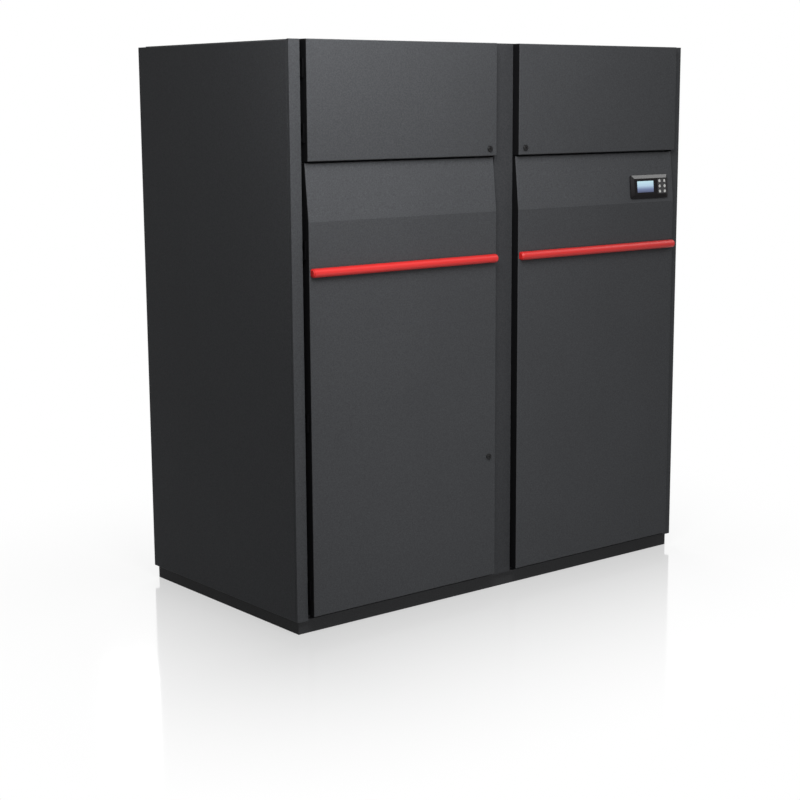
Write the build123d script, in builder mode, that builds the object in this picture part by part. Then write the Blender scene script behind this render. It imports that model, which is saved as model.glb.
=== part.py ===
from build123d import *

import os
from math import cos, radians, sin

# A two-bay downflow computer room air conditioner.
# X runs along the front, the doors face -Y, Z is up. The origin is on the floor, under the middle of the box.

# Overall sizes
width = 1830.0
depth = 926.0
height = 1955.0

# Plinth and base
plinth_height = 46.0
plinth_inset = 12.0
plinth_rail = 50.0
base_height = 54.0
sill_thickness = 4.0
sill_setback = 2.0

# Frame sections
post_face = 43.0
post_nose = 26.0
post_body = 34.0
post_landing = 24.0
post_wall = 2.5
middle_face = 89.0
corner_return = 8.0
rear_post = 40.0
rail_width = 40.0
middle_rail = 60.0
top_rail_height = 50.0
transom_height = 80.0

# Cladding
panel_thickness = 20.0
panel_joint = 1.5
panel_drop = 3.0
panel_edge_bevel = 2.0
rear_setback = 3.0

# Doors
door_proud = 25.0
door_thickness = 45.0
door_skin = 2.0
door_lip = 18.0
door_edge_radius = 3.0
door_side_gap = 8.0
door_split_gap = 5.5
upper_door_height = 384.0
lower_door_bottom = 62.0
lean_height = 187.5
lean_setback = 18.0
liner_clearance = 0.2

# Trim bars across the lower doors
bar_height = 28.5
bar_proud = 22.0
bar_drop = 163.5
bar_inset = 5.0
bar_end_bevel = 5.0

# Quarter-turn locks
lock_edge = 32.0
lock_rise = 24.0
lock_lower_height = 504.0
lock_rose_radius = 11.0
lock_rose_proud = 4.0
lock_rose_bevel = 1.0
lock_barrel_radius = 8.0
lock_barrel_length = 26.0
lock_clearance = 0.2
lock_key_width = 8.0
lock_key_depth = 2.5

# Controller on the sloped face of the right lower door
controller_width = 202.0
controller_height = 88.0
controller_depth = 11.0
controller_corner = 7.0
controller_bevel_width = 13.0
controller_bevel_depth = 7.0
controller_face_corner = 2.0
controller_edge = 34.0
controller_rise = 58.0
screen_width = 90.0
screen_height = 43.0
screen_left = 29.0
screen_recess = 3.0
screen_thickness = 2.0
screen_fit = 0.2
keypad_left = 141.0
keypad_width = 46.0
keypad_height = 56.0
keypad_thickness = 2.0
key_pitch_x = 27.0
key_pitch_z = 19.5
key_radius = 5.6
key_height = 1.6

# Door hinges
hinge_forward = 10.0
hinge_barrel_radius = 3.4
hinge_pin_radius = 1.8
hinge_pin_clearance = 0.08
hinge_knuckle = 30.0
hinge_play = 0.3
hinge_leaf = 1.6
hinge_leaf_depth = 24.0
hinge_end_distance = 60.0

# Filters
filter_ledge = 15.0
filter_ledge_thickness = 4.0
filter_height = 30.0
filter_border = 18.0
filter_pleat_pitch = 27.0
filter_media = 3.0
filter_fit = 1.0
filter_seat = 0.3

# Fan deck, coil and drain tray
deck_height = 600.0
deck_thickness = 4.0
coil_section = 130.0
coil_top_gap = 165.0
coil_end_plate = 12.0
coil_plate_proud = 8.0
coil_side_gap = 20.0
coil_seat = 0.3
tray_height = 60.0
tray_wall = 3.0
tray_margin = 12.0
tray_gap = 1.0

# Plug fans
fan_radius = 245.0
fan_eye_radius = 165.0
fan_blade_height = 150.0
fan_blades = 7
fan_blade_thickness = 4.0
fan_disc = 5.0
fan_shroud = 4.0
fan_shroud_rise = 40.0
fan_neck = 15.0
fan_flare_flats = 3
fan_blade_lead = 15.0
fan_blade_sweep = 48.0
fan_blade_bow = 0.4
fan_inlet_gap = 4.0
fan_inlet_radius = 40.0
fan_inlet_lap = 12.0
fan_motor_radius = 85.0
fan_motor_height = 110.0
fan_motor_bevel = 12.0
fan_bracket_bar = 40.0
fan_bracket_plate = 6.0
fan_bracket_gap = 30.0
fan_from_rear = 420.0

# Electrical box behind the right upper door
box_depth = 150.0
box_height = 250.0
box_lap = 15.0
box_lid = 3.0
box_lid_gap = 3.0
box_rise = 20.0

# Places that follow from the sizes above
half_width = width / 2
front = (door_proud + bar_proud - depth) / 2
rear = front + depth
frame_front = front + post_nose
frame_back = rear - panel_thickness
frame_side = half_width - panel_thickness
body_back = frame_front + post_body
base_top = plinth_height + base_height
top_bottom = height - top_rail_height
door_face = front - door_proud
door_back = door_face + door_thickness
door_outer = half_width - post_face - door_side_gap
door_inner = middle_face / 2 + door_side_gap
door_width = door_outer - door_inner
upper_door_bottom = height - upper_door_height
lower_door_top = upper_door_bottom - door_split_gap
lower_door_fold = lower_door_top - lean_height
hinge_x = door_outer + door_side_gap / 2
hinge_y = front - hinge_forward
intake_x = (middle_rail / 2, frame_side - rail_width)
intake_y = (frame_front + rail_width, frame_back - rail_width)
bay_centre = (intake_x[0] + intake_x[1]) / 2
fan_y = rear - fan_from_rear
edge = -half_width
slope = lean_setback / lean_height

os.makedirs("parts", exist_ok=True)


def save(part, name):
    """Labels a finished piece and writes it under its own name."""
    part.label = name
    export_step(part, f"parts/{name}.step")


def save_pair(part, name):
    """Writes a piece of the left bay and its mirror image in the right bay."""
    save(part, f"{name}_left")
    save(mirror(part, about=Plane.YZ), f"{name}_right")


def rectangle(x, y, mode=Mode.ADD):
    """Draws a rectangle between two limits along each axis of the open sketch."""
    with Locations(((x[0] + x[1]) / 2, (y[0] + y[1]) / 2)):
        Rectangle(x[1] - x[0], y[1] - y[0], mode=mode)


def polygon(points, mode=Mode.ADD):
    """Draws a closed straight-sided outline in the open sketch."""
    Polygon(*points, align=None, mode=mode)


def corners(x, y):
    """The four corners of a rectangle between two limits along each axis."""
    return [(x[0], y[0]), (x[1], y[0]), (x[1], y[1]), (x[0], y[1])]


def tube_section(points, wall):
    """Draws the section of a folded hollow profile: an outline and the space inside its wall."""
    polygon(points)
    offset(amount=-wall, kind=Kind.INTERSECTION, mode=Mode.SUBTRACT)


# Recessed plinth, two bays with a tie between them
with BuildPart() as plinth:
    outer_x = half_width - plinth_inset
    outer_y = (front + plinth_inset, rear - plinth_inset)
    with BuildSketch():
        rectangle((-outer_x, outer_x), outer_y)
        for side in (-1, 1):
            bay = sorted((side * plinth_rail / 2, side * (outer_x - plinth_rail)))
            rectangle(bay, (outer_y[0] + plinth_rail, outer_y[1] - plinth_rail), Mode.SUBTRACT)
    extrude(amount=plinth_height)
save(plinth.part, "plinth")

# Base rails: hollow rails along the front and the rear
with BuildPart() as base_rails:
    for rail_y in ((frame_front, body_back), (frame_back - rail_width, frame_back)):
        with BuildSketch(Plane.YZ.offset(-frame_side)):
            tube_section(corners(rail_y, (plinth_height, base_top)), post_wall)
        extrude(amount=2 * frame_side)
save(base_rails.part, "base_rails")

# Base cross rails at both ends and between the bays, which leave the floor open under each fan
with BuildPart() as cross_rails:
    end_rail = (frame_side - rail_width, frame_side)
    for rail_x in ((-end_rail[1], -end_rail[0]), (-middle_rail / 2, middle_rail / 2), end_rail):
        with BuildSketch(Plane.XZ.offset(-body_back)):
            tube_section(corners(rail_x, (plinth_height, base_top)), post_wall)
        extrude(amount=body_back - frame_back + rail_width)
save(cross_rails.part, "base_cross_rails")

# Sill strip on the plinth, below the doors and under the middle post
with BuildPart() as door_sill:
    with BuildSketch(Plane.XY.offset(plinth_height)):
        rectangle((post_face - half_width, half_width - post_face), (front + sill_setback, frame_front))
    extrude(amount=sill_thickness)
save(door_sill.part, "door_sill")

# Front corner posts: a nose that shows between the doors and a wider body behind, which the doors close on
nose_section = [
    (edge, front),
    (edge + post_face, front),
    (edge + post_face, frame_front),
    (edge + panel_thickness, frame_front),
    (edge + panel_thickness, front + corner_return),
    (edge, front + corner_return),
]
body_section = nose_section[:3] + [
    (edge + post_face + post_landing, frame_front),
    (edge + post_face + post_landing, body_back),
    (edge + panel_thickness, body_back),
] + nose_section[4:]
with BuildPart() as front_post:
    with BuildSketch(Plane.XY.offset(plinth_height)):
        tube_section(nose_section, post_wall)
    extrude(amount=height - plinth_height)
    with BuildSketch(Plane.XY.offset(base_top)):
        tube_section(body_section, post_wall)
    extrude(amount=top_bottom - base_top)
    with BuildSketch(Plane.XY.offset(height - post_wall)):
        polygon(nose_section)
    extrude(amount=post_wall)
save_pair(front_post.part, "post_front")

# Front middle post
middle_nose = [
    (-middle_face / 2, front),
    (middle_face / 2, front),
    (middle_face / 2, frame_front),
    (-middle_face / 2, frame_front),
]
middle_body = middle_nose[:3] + [
    (middle_face / 2 + post_landing, frame_front),
    (middle_face / 2 + post_landing, body_back),
    (-middle_face / 2 - post_landing, body_back),
    (-middle_face / 2 - post_landing, frame_front),
] + middle_nose[3:]
with BuildPart() as middle_post:
    sill_top = plinth_height + sill_thickness
    with BuildSketch(Plane.XY.offset(sill_top)):
        tube_section(middle_nose, post_wall)
    extrude(amount=height - sill_top)
    with BuildSketch(Plane.XY.offset(base_top)):
        tube_section(middle_body, post_wall)
    extrude(amount=top_bottom - base_top)
    with BuildSketch(Plane.XY.offset(height - post_wall)):
        polygon(middle_nose)
    extrude(amount=post_wall)
save(middle_post.part, "post_front_middle")


def rear_post_part(x):
    """A square hollow post behind the cladding, between its two limits along X."""
    with BuildPart() as post:
        with BuildSketch(Plane.XY.offset(base_top)):
            tube_section(corners(x, (frame_back - rear_post, frame_back)), post_wall)
        extrude(amount=top_bottom - base_top)
    return post.part


save_pair(rear_post_part((-frame_side, -frame_side + rear_post)), "post_rear")
save(rear_post_part((-rear_post, rear_post)), "post_rear_middle")

# Top frame: a ring with an air intake over each bay and a ledge under each filter
with BuildPart() as top_frame:
    with BuildSketch(Plane.XY.offset(top_bottom)):
        rectangle((-frame_side, frame_side), (frame_front, frame_back))
        for side in (-1, 1):
            hole_x = sorted((side * (intake_x[0] + filter_ledge), side * (intake_x[1] - filter_ledge)))
            rectangle(hole_x, (intake_y[0] + filter_ledge, intake_y[1] - filter_ledge), Mode.SUBTRACT)
    extrude(amount=top_rail_height)
    with BuildSketch(Plane.XY.offset(top_bottom + filter_ledge_thickness)):
        for side in (-1, 1):
            rectangle(sorted((side * intake_x[0], side * intake_x[1])), intake_y)
    extrude(amount=top_rail_height, mode=Mode.SUBTRACT)
save(top_frame.part, "top_frame")

# Pleated filters lying on the ledges
filter_bottom = top_bottom + filter_ledge_thickness + filter_seat
filter_x = (filter_fit - intake_x[1], -intake_x[0] - filter_fit)
filter_y = (intake_y[0] + filter_fit, intake_y[1] - filter_fit)
media_x = (filter_x[0] + filter_border, filter_x[1] - filter_border)
media_y = (filter_y[0] + filter_border, filter_y[1] - filter_border)
pleats = round((media_x[1] - media_x[0]) / filter_pleat_pitch)
pleat = (media_x[1] - media_x[0]) / pleats
with BuildPart() as air_filter:
    with BuildSketch(Plane.XY.offset(filter_bottom)):
        rectangle(filter_x, filter_y)
        rectangle(media_x, media_y, Mode.SUBTRACT)
    extrude(amount=filter_height)
    with BuildSketch(Plane.XZ.offset(-media_y[0])):
        low = filter_bottom + filter_ledge_thickness
        high = filter_bottom + filter_height - filter_media - filter_ledge_thickness
        ridge = [(media_x[0] + pleat * n / 2, high if n % 2 else low) for n in range(2 * pleats + 1)]
        polygon(ridge + [(x, z + filter_media) for x, z in reversed(ridge)])
    extrude(amount=media_y[0] - media_y[1])
save_pair(air_filter.part, "filter")

# Transoms behind the gap between upper and lower doors
with BuildPart() as transom:
    middle = upper_door_bottom - door_split_gap / 2
    span = (edge + post_face + post_landing, -middle_face / 2 - post_landing)
    with BuildSketch(Plane.YZ.offset(span[0])):
        z_limits = (middle - transom_height / 2, middle + transom_height / 2)
        tube_section(corners((frame_front, body_back), z_limits), post_wall)
    extrude(amount=span[1] - span[0])
save_pair(transom.part, "transom")


def panel_part(plane, x, y, thickness, towards):
    """A foam-filled sheet panel drawn on a plane, with the edges of its outer face bevelled."""
    with BuildPart() as panel:
        with BuildSketch(plane):
            rectangle(x, y)
        extrude(amount=thickness)
        chamfer(panel.faces().sort_by(towards)[-1].edges(), length=panel_edge_bevel)
    return panel.part


# Side and rear panels
panel_z = (plinth_height, height - panel_drop)
side_y = (front + corner_return + panel_joint, rear)
side_panel = panel_part(Plane.YZ.offset(-half_width), side_y, panel_z, panel_thickness, -Axis.X)
save_pair(side_panel, "side_panel")
rear_x = (-frame_side + panel_joint / 2, -panel_joint / 2)
rear_plane = Plane.XZ.offset(rear_setback - rear)
rear_panel = panel_part(rear_plane, rear_x, panel_z, panel_thickness - rear_setback, Axis.Y)
save_pair(rear_panel, "rear_panel")


def door_outline(bottom, top, fold, inset, back):
    """The side outline of a door, moved in from its skin by an inset. Above the fold it leans back."""
    face = door_face + inset
    lean = slope * max(top - inset - fold, 0)
    low = bottom + inset
    high = top - inset
    outline = [(face, low), (back, low), (back, high), (face + lean, high)]
    return outline + [(face, fold)] if lean else outline


def door_parts(bottom, top, fold, lock_height):
    """A folded door pan for the left bay, and the foam liner inside it."""
    with BuildPart() as pan:
        with BuildSketch(Plane.YZ.offset(-door_outer)):
            polygon(door_outline(bottom, top, fold, 0, door_back))
        extrude(amount=door_width)
        face_edges = pan.edges().filter_by(lambda e: max(v.Y for v in e.vertices()) < door_back - door_skin)
        fillet(face_edges.filter_by(lambda e: abs(e.center().Z - fold) > door_skin or fold == top),
               radius=door_edge_radius)
        with BuildSketch(Plane.YZ.offset(-door_outer + door_skin)):
            polygon(door_outline(bottom, top, fold, door_skin, door_back - door_skin))
        extrude(amount=door_width - 2 * door_skin, mode=Mode.SUBTRACT)
        with BuildSketch(Plane.XZ.offset(-door_back)):
            rectangle((-door_outer + door_lip, -door_inner - door_lip), (bottom + door_lip, top - door_lip))
        extrude(amount=door_skin, mode=Mode.SUBTRACT)
        if lock_height:
            with BuildSketch(Plane.XZ.offset(-door_face)):
                with Locations((-door_inner - lock_edge, lock_height)):
                    Circle(lock_barrel_radius + lock_clearance)
            extrude(amount=-door_skin, mode=Mode.SUBTRACT)
    with BuildPart() as liner:
        inset = door_skin + liner_clearance
        with BuildSketch(Plane.YZ.offset(-door_outer + inset)):
            polygon(door_outline(bottom, top, fold, inset, door_back - inset))
        extrude(amount=door_width - 2 * inset)
        if lock_height:
            with BuildSketch(Plane.XZ.offset(-door_face)):
                with Locations((-door_inner - lock_edge, lock_height)):
                    Circle(lock_rose_radius + lock_clearance)
            extrude(amount=-door_thickness, mode=Mode.SUBTRACT)
    return pan.part, liner.part


upper_lock = upper_door_bottom + lock_rise
upper_door, upper_liner = door_parts(upper_door_bottom, height, height, upper_lock)
save_pair(upper_door, "door_upper")
save_pair(upper_liner, "liner_upper")
lower_door, lower_liner = door_parts(lower_door_bottom, lower_door_top, lower_door_fold, lock_lower_height)
save(lower_door, "door_lower_left")
save(lower_liner, "liner_lower_left")
plain_door, plain_liner = door_parts(lower_door_bottom, lower_door_top, lower_door_fold, None)
save(mirror(plain_door, about=Plane.YZ), "door_lower_right")
save(mirror(plain_liner, about=Plane.YZ), "liner_lower_right")

# Trim bars across the lower doors: a half-round front on a short web, with bevelled ends
with BuildPart() as trim_bar:
    bar_centre = lower_door_fold - bar_drop
    bar_low = bar_centre - bar_height / 2
    bar_high = bar_centre + bar_height / 2
    bar_nose = door_face - bar_proud
    bar_shoulder = bar_nose + bar_height / 2
    with BuildSketch(Plane.YZ.offset(-door_outer + bar_inset)):
        with BuildLine():
            under = (bar_shoulder, bar_low)
            over = (bar_shoulder, bar_high)
            Polyline(under, (door_face, bar_low), (door_face, bar_high), over)
            ThreePointArc(over, (bar_nose, bar_centre), under)
        make_face()
    extrude(amount=door_width - 2 * bar_inset)
    end_edges = trim_bar.faces().filter_by(Axis.X).edges().sort_by(Axis.Y)
    chamfer(end_edges[:-2], length=bar_end_bevel)
save_pair(trim_bar.part, "trim_bar")


def lock_part(height_above_floor):
    """A round quarter-turn lock: rose, barrel through the skin, and a slot for the key."""
    with BuildPart() as lock:
        centre = (-door_inner - lock_edge, height_above_floor)
        with BuildSketch(Plane.XZ.offset(-door_face)):
            with Locations(centre):
                Circle(lock_rose_radius)
        extrude(amount=lock_rose_proud)
        chamfer(lock.faces().sort_by(Axis.Y)[0].edges(), length=lock_rose_bevel)
        with BuildSketch(Plane.XZ.offset(-door_face)):
            with Locations(centre):
                Circle(lock_barrel_radius)
        extrude(amount=-lock_barrel_length)
        with BuildSketch(Plane.XZ.offset(-door_face + lock_rose_proud)):
            with Locations(centre):
                RegularPolygon(lock_key_width / 2, 3)
        extrude(amount=-lock_key_depth, mode=Mode.SUBTRACT)
    return lock.part


save_pair(lock_part(upper_lock), "lock_upper")
save(lock_part(lock_lower_height), "lock_lower_left")

# Controller: a housing with a wide bevel on the sloped face, with a recessed screen and a key pad
controller_centre = Vector(
    door_outer - controller_edge - controller_width / 2,
    door_face + slope * controller_rise,
    lower_door_fold + controller_rise,
)
controller_plane = Plane(origin=controller_centre, x_dir=(1, 0, 0), z_dir=(0, -1, slope))
screen_x = screen_left + screen_width / 2 - controller_width / 2
keypad_x = keypad_left + keypad_width / 2 - controller_width / 2
with BuildPart() as housing:
    bevel_start = controller_depth - controller_bevel_depth
    face_width = controller_width - 2 * controller_bevel_width
    face_height = controller_height - 2 * controller_bevel_width
    with BuildSketch(controller_plane):
        RectangleRounded(controller_width, controller_height, controller_corner)
    extrude(amount=bevel_start)
    with BuildSketch(controller_plane.offset(bevel_start)):
        RectangleRounded(controller_width, controller_height, controller_corner)
    with BuildSketch(controller_plane.offset(controller_depth)):
        RectangleRounded(face_width, face_height, controller_face_corner)
    loft(ruled=True)
    with BuildSketch(controller_plane.offset(controller_depth)):
        with Locations((screen_x, 0)):
            Rectangle(screen_width, screen_height)
    extrude(amount=-screen_recess, mode=Mode.SUBTRACT)
    with BuildSketch(controller_plane.offset(controller_depth)):
        with Locations((keypad_x, 0)):
            Rectangle(keypad_width, keypad_height)
    extrude(amount=-keypad_thickness, mode=Mode.SUBTRACT)
save(housing.part, "controller_housing")

with BuildPart() as screen:
    with BuildSketch(controller_plane.offset(controller_depth - screen_recess)):
        with Locations((screen_x, 0)):
            Rectangle(screen_width - 2 * screen_fit, screen_height - 2 * screen_fit)
    extrude(amount=screen_thickness)
save(screen.part, "controller_screen")

with BuildPart() as keypad:
    with BuildSketch(controller_plane.offset(controller_depth - keypad_thickness)):
        with Locations((keypad_x, 0)):
            Rectangle(keypad_width - 2 * screen_fit, keypad_height - 2 * screen_fit)
    extrude(amount=keypad_thickness)
    with BuildSketch(controller_plane.offset(controller_depth)):
        with Locations((keypad_x, 0)):
            with GridLocations(key_pitch_x, key_pitch_z, 2, 3):
                Circle(key_radius)
    extrude(amount=key_height)
save(keypad.part, "controller_keypad")


def hinge_heights(bottom, top, count):
    """Heights of the split between the two knuckles of each hinge on a door."""
    first = bottom + hinge_end_distance + hinge_knuckle
    last = top - hinge_end_distance - hinge_knuckle
    return [first + (last - first) * n / (count - 1) for n in range(count)]


upper_hinges = hinge_heights(upper_door_bottom, height, 2)
lower_hinges = hinge_heights(lower_door_bottom, lower_door_fold, 3)

# Fixed halves of the hinges: leaf on the post, lower knuckle and pin
with BuildPart() as hinge_frame:
    for split in upper_hinges + lower_hinges:
        with BuildSketch(Plane.XY.offset(split - hinge_knuckle)):
            post_side = post_face - half_width
            rectangle((post_side, post_side + hinge_leaf), (hinge_y, hinge_y + hinge_leaf_depth))
            with Locations((-hinge_x, hinge_y)):
                Circle(hinge_barrel_radius)
        extrude(amount=hinge_knuckle)
        with BuildSketch(Plane.XY.offset(split)):
            with Locations((-hinge_x, hinge_y)):
                Circle(hinge_pin_radius)
        extrude(amount=hinge_knuckle)
save_pair(hinge_frame.part, "hinge_posts")


def hinge_leaf_part(splits):
    """Swinging halves of a door's hinges: leaf on the door's edge and a bored upper knuckle."""
    with BuildPart() as leaves:
        for split in splits:
            with BuildSketch(Plane.XY.offset(split + hinge_play)):
                rectangle((-door_outer - hinge_leaf, -door_outer), (hinge_y, hinge_y + hinge_leaf_depth))
                rectangle((-hinge_x, -door_outer), (hinge_y - hinge_barrel_radius, hinge_y))
                with Locations((-hinge_x, hinge_y)):
                    Circle(hinge_barrel_radius)
                    Circle(hinge_pin_radius + hinge_pin_clearance, mode=Mode.SUBTRACT)
            extrude(amount=hinge_knuckle)
    return leaves.part


save_pair(hinge_leaf_part(upper_hinges), "hinge_upper")
save_pair(hinge_leaf_part(lower_hinges), "hinge_lower")


def flare(centre, reach, rise):
    """Points of a spun flare: a quarter ellipse in a few flats, from over its centre to beside it."""
    turns = [radians(90 * n / fan_flare_flats) for n in range(fan_flare_flats + 1)]
    return [(centre[0] - reach * sin(turn), centre[1] + rise * cos(turn)) for turn in turns]


# Fan deck between the posts, with a pressed bell mouth over each fan
neck_top = deck_height - fan_inlet_radius
throat = fan_eye_radius - fan_inlet_gap - deck_thickness
deck_top = deck_height + deck_thickness
mouth_end = neck_top - fan_inlet_lap
mouth_centre = (throat + fan_inlet_radius, deck_top - fan_inlet_radius)
mouth_under = fan_inlet_radius - deck_thickness
with BuildPart() as fan_deck:
    with BuildSketch(Plane.XY.offset(deck_height)):
        rectangle((-frame_side, frame_side), (body_back, frame_back - rear_post))
        with Locations((-bay_centre, fan_y), (bay_centre, fan_y)):
            Circle(mouth_centre[0], mode=Mode.SUBTRACT)
    extrude(amount=deck_thickness)
    for x in (-bay_centre, bay_centre):
        with BuildSketch(Plane((x, fan_y, 0), x_dir=(1, 0, 0), z_dir=(0, -1, 0))):
            lip = [(throat, mouth_end), (throat + deck_thickness, mouth_end)]
            upper_side = flare(mouth_centre, fan_inlet_radius, fan_inlet_radius)
            polygon(upper_side + lip + flare(mouth_centre, mouth_under, mouth_under)[::-1])
        revolve(axis=Axis((x, fan_y, 0), (0, 0, 1)))
save(fan_deck.part, "fan_deck")

# Plug fan impeller: backward-curved blades between a back disc and a flared shroud
neck_bottom = neck_top - fan_neck
rim_top = neck_bottom - fan_shroud_rise
disc_top = rim_top - fan_blade_height
fan_axis = Axis((-bay_centre, fan_y, 0), (0, 0, 1))
fan_plane = Plane((-bay_centre, fan_y, 0), x_dir=(1, 0, 0), z_dir=(0, -1, 0))
shroud_centre = (fan_radius, neck_bottom)
shroud_reach = fan_radius - fan_eye_radius
shroud_inside = flare(shroud_centre, shroud_reach, -fan_shroud_rise)
shroud_outside = flare(shroud_centre, shroud_reach - fan_shroud, fan_shroud - fan_shroud_rise)


def blade_point(radius, turn):
    """A point of a blade's centre line, by its radius and the angle that the blade trails by."""
    return (radius * cos(radians(turn)), radius * sin(radians(turn)))


with BuildSketch() as blade:
    with BuildLine():
        inner_radius = fan_eye_radius - fan_blade_lead
        ThreePointArc(
            blade_point(inner_radius, 0),
            blade_point((inner_radius + fan_radius) / 2, fan_blade_sweep * fan_blade_bow),
            blade_point(fan_radius - fan_blade_thickness, fan_blade_sweep),
        )
    trace(line_width=fan_blade_thickness)
with BuildPart() as impeller:
    with BuildSketch(Plane((-bay_centre, fan_y, disc_top))):
        with PolarLocations(0, fan_blades):
            add(blade.sketch)
    extrude(amount=fan_blade_height + fan_shroud_rise)
    with BuildSketch(fan_plane):
        polygon(shroud_inside + [(0, neck_bottom), (0, disc_top), (fan_radius, disc_top)])
    revolve(axis=fan_axis, mode=Mode.INTERSECT)
    with BuildSketch(fan_plane):
        rectangle((0, fan_radius), (disc_top - fan_disc, disc_top))
        neck = [(fan_eye_radius, neck_top), (fan_eye_radius + fan_shroud, neck_top)]
        polygon(shroud_inside + neck + shroud_outside[::-1])
    revolve(axis=fan_axis)
save_pair(impeller.part, "fan_impeller")

# Fan motor on a cross of bars, hung from the deck by a strut at each end
motor_top = disc_top - fan_disc
motor_bottom = motor_top - fan_motor_height
strut_reach = fan_radius + fan_bracket_gap
with BuildPart() as fan_motor:
    with BuildSketch(Plane.XY.offset(motor_bottom)):
        with Locations((-bay_centre, fan_y)):
            Circle(fan_motor_radius)
    extrude(amount=fan_motor_height)
    chamfer(fan_motor.edges().group_by(Axis.Z)[0], length=fan_motor_bevel)
    with BuildSketch(Plane.XY.offset(motor_bottom - fan_bracket_plate)):
        with Locations((-bay_centre, fan_y)):
            Rectangle(2 * (strut_reach + fan_bracket_plate), fan_bracket_bar)
            Rectangle(fan_bracket_bar, 2 * (strut_reach + fan_bracket_plate))
    extrude(amount=fan_bracket_plate)
    with BuildSketch(Plane.XY.offset(motor_bottom)):
        with Locations((-bay_centre, fan_y)):
            with PolarLocations(strut_reach + fan_bracket_plate / 2, 4):
                Rectangle(fan_bracket_plate, fan_bracket_bar)
    extrude(amount=deck_height - motor_bottom)
save_pair(fan_motor.part, "fan_motor")

# Drain tray on the deck, under the foot of the coil, deep enough for the coil's lean
coil_side = half_width - post_face - post_landing - coil_side_gap
coil_y = body_back + tray_gap + tray_wall + tray_margin
coil_foot = deck_top + tray_wall + coil_seat
coil_top = top_bottom - coil_top_gap
coil_back = frame_back - rear_post - coil_seat
coil_lean = (coil_back - coil_section - coil_y) / (coil_top - coil_foot)
tray_back = coil_y + coil_section + coil_lean * tray_height + tray_margin + tray_wall
tray_y = (body_back + tray_gap, tray_back)
with BuildPart() as drain_tray:
    with BuildSketch(Plane.YZ.offset(-coil_side - tray_margin)):
        rectangle(tray_y, (deck_top, deck_top + tray_height))
    extrude(amount=2 * (coil_side + tray_margin))
    offset(amount=-tray_wall, openings=drain_tray.faces().sort_by(Axis.Z)[-1])
save(drain_tray.part, "drain_tray")

# Cooling coil: a finned block leaning back from the tray to the rear posts, between two end plates
coil_outline = [
    (coil_y, coil_foot),
    (coil_y + coil_section, coil_foot),
    (coil_back, coil_top),
    (coil_back - coil_section, coil_top),
]
with BuildPart() as coil:
    with BuildSketch(Plane.YZ.offset(-coil_side)):
        polygon(coil_outline)
    extrude(amount=2 * coil_side)
    with BuildSketch(Plane.YZ.offset(-coil_side + coil_end_plate)):
        polygon(coil_outline)
        fin_inset = (coil_plate_proud, -coil_plate_proud, -coil_plate_proud, coil_plate_proud)
        polygon([(y + inset, z) for (y, z), inset in zip(coil_outline, fin_inset)], Mode.SUBTRACT)
    extrude(amount=2 * (coil_side - coil_end_plate), mode=Mode.SUBTRACT)
save(coil.part, "cooling_coil")

# Electrical box screwed to the backs of the posts, with its lid in the right upper doorway
doorway_x = (middle_face / 2 + post_landing, half_width - post_face - post_landing)
box_bottom = upper_door_bottom - door_split_gap / 2 + transom_height / 2 + box_rise
box_z = (box_bottom, box_bottom + box_height)
with BuildPart() as electrical_box:
    with BuildSketch(Plane.XZ.offset(-body_back)):
        rectangle((doorway_x[0] - box_lap, doorway_x[1] + box_lap), box_z)
    extrude(amount=-box_depth)
    with BuildSketch(Plane.XZ.offset(-body_back)):
        rectangle((doorway_x[0] + box_lid_gap, doorway_x[1] - box_lid_gap), box_z)
    extrude(amount=box_lid)
save(electrical_box.part, "electrical_box")
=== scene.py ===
from math import cos, floor, pi, radians, sin

import bmesh
import bpy
from mathutils import Matrix, Vector


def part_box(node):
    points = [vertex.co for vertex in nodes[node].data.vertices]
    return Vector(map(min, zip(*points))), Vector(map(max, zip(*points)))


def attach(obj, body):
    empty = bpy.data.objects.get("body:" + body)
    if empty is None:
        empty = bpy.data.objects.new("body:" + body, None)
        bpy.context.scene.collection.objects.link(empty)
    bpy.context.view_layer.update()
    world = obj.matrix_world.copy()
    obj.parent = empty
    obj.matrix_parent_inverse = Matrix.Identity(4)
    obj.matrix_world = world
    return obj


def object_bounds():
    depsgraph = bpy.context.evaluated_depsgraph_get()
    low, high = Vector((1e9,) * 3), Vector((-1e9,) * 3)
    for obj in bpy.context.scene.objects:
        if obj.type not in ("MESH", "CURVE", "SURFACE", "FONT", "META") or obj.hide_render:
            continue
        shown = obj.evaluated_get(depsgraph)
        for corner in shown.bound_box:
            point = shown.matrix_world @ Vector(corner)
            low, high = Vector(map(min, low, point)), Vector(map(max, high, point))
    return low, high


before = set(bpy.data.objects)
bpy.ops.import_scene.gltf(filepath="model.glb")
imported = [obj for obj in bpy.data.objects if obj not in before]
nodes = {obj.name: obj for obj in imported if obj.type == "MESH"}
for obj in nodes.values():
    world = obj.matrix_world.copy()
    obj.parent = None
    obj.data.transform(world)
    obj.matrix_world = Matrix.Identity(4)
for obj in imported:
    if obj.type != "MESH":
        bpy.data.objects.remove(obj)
cad_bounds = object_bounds()

# Looks of a computer room air conditioner. Lengths are in metres, in the frame of the part:
# +X along the front, the doors face -Y, +Z up, origin on the floor under the middle of the box.

BAYS = ("left", "right")
LEVELS = ("upper", "lower")
RIGHT = (1, 0, 0)
LEFT = (-1, 0, 0)
UP = (0, 0, 1)

# Camera: angles in degrees, lens and sensor in millimetres
CAMERA_PLACE = (-3.986, -4.792, 1.759)
CAMERA_YAW = 38.92
CAMERA_PITCH = 10.21
CAMERA_ROLL = -0.29
CAMERA_LENS = 74.63
CAMERA_SENSOR = 36.0

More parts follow.
